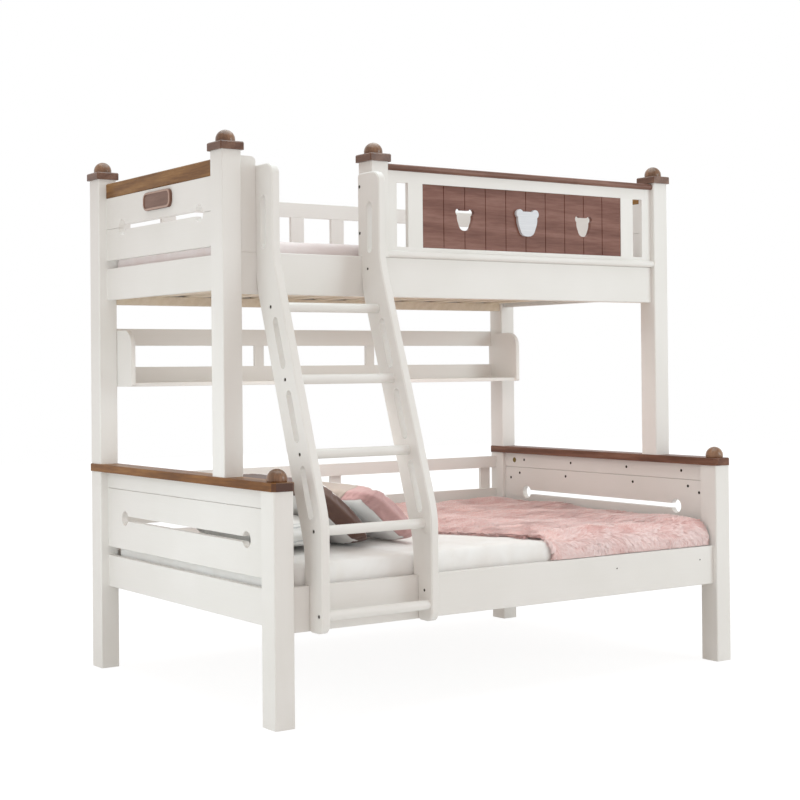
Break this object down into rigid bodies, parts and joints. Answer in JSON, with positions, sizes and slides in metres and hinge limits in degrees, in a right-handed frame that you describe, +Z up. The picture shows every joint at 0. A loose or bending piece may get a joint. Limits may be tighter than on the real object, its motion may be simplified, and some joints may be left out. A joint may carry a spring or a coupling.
{
  "type": "bunk bed",
  "caption": "Bunk bed with a wide lower bunk, a narrower upper bunk behind a guard panel, a leaning ladder with rungs, a rear shelf, mattresses, cushions and a throw.",
  "frame": {"origin": "centre of the overall bounding box, on the floor", "axes": "+X from the head end with the ladder to the foot end, +Y from the ladder to the wall side, +Z up"},
  "size_m": [2.14, 1.54, 2.031],
  "materials": {
    "white_paint": "satin warm white paint",
    "brown_wood": "satin brown stain",
    "pine": "bare planed pine",
    "badge_paint": "pale bluish white paint",
    "mattress_cloth": "smooth cream cotton",
    "cushion_cloth": "white cotton with a coloured border",
    "fur": "dusty pink long pile"
  },
  "bodies": {
    "bed_frame": {"lower_post_front_left": "white_paint", "upper_post_front_left": "white_paint", "lower_post_front_right": "white_paint", "upper_post_front_right": "white_paint", "lower_post_rear_left": "white_paint", "upper_post_rear_left": "white_paint", "lower_post_rear_right": "white_paint", "upper_post_rear_right": "white_paint", "guard_post": "white_paint", "cap_left": "brown_wood", "cap_right": "brown_wood", "cap_blocks": "brown_wood", "cap_balls": "brown_wood", "lower_head_top_board": "white_paint", "lower_head_slotted_panel": "white_paint", "lower_head_end_rail": "white_paint", "upper_head_top_board": "brown_wood", "upper_head_slotted_boards": "white_paint", "upper_head_end_rail": "white_paint", "lower_foot_top_board": "white_paint", "lower_foot_slotted_panel": "white_paint", "lower_foot_end_rail": "white_paint", "upper_foot_top_board": "brown_wood", "upper_foot_slotted_boards": "white_paint", "upper_foot_end_rail": "white_paint", "plaque": "brown_wood", "lower_rail_front": "white_paint", "lower_rail_rear": "white_paint", "upper_rail_front": "white_paint", "upper_rail_rear": "white_paint", "cleats": "pine", "lower_laths": "pine", "upper_laths": "pine", "guard_bar": "white_paint", "guard_rail": "white_paint", "guard_cap": "brown_wood", "guard_slats": "white_paint", "guard_panel": "brown_wood", "bear_badge": "badge_paint", "short_board": "white_paint", "upper_back_rail": "white_paint", "upper_back_slats": "white_paint", "lower_back_guard": "white_paint", "shelf_board": "white_paint", "shelf_brackets": "white_paint", "shelf_back": "white_paint", "ladder_stile_left": "white_paint", "ladder_stile_right": "white_paint", "ladder_rungs": "white_paint"},
    "lower_bedding": {"lower_mattress": "mattress_cloth", "cushion_flat": "cushion_cloth", "cushion_brown": "cushion_cloth", "cushion_pink": "cushion_cloth", "fur_throw": "fur"},
    "upper_bedding": {"upper_mattress": "mattress_cloth"}
  },
  "joints": [
    {"name": "lower_mattress_lift", "type": "slide", "parent": "bed_frame", "child": "lower_bedding", "axis": [0, 0, 1], "range_m": [0, 0.08]},
    {"name": "upper_mattress_lift", "type": "slide", "parent": "bed_frame", "child": "upper_bedding", "axis": [0, 0, 1], "range_m": [0, 0.12]}
  ]
}
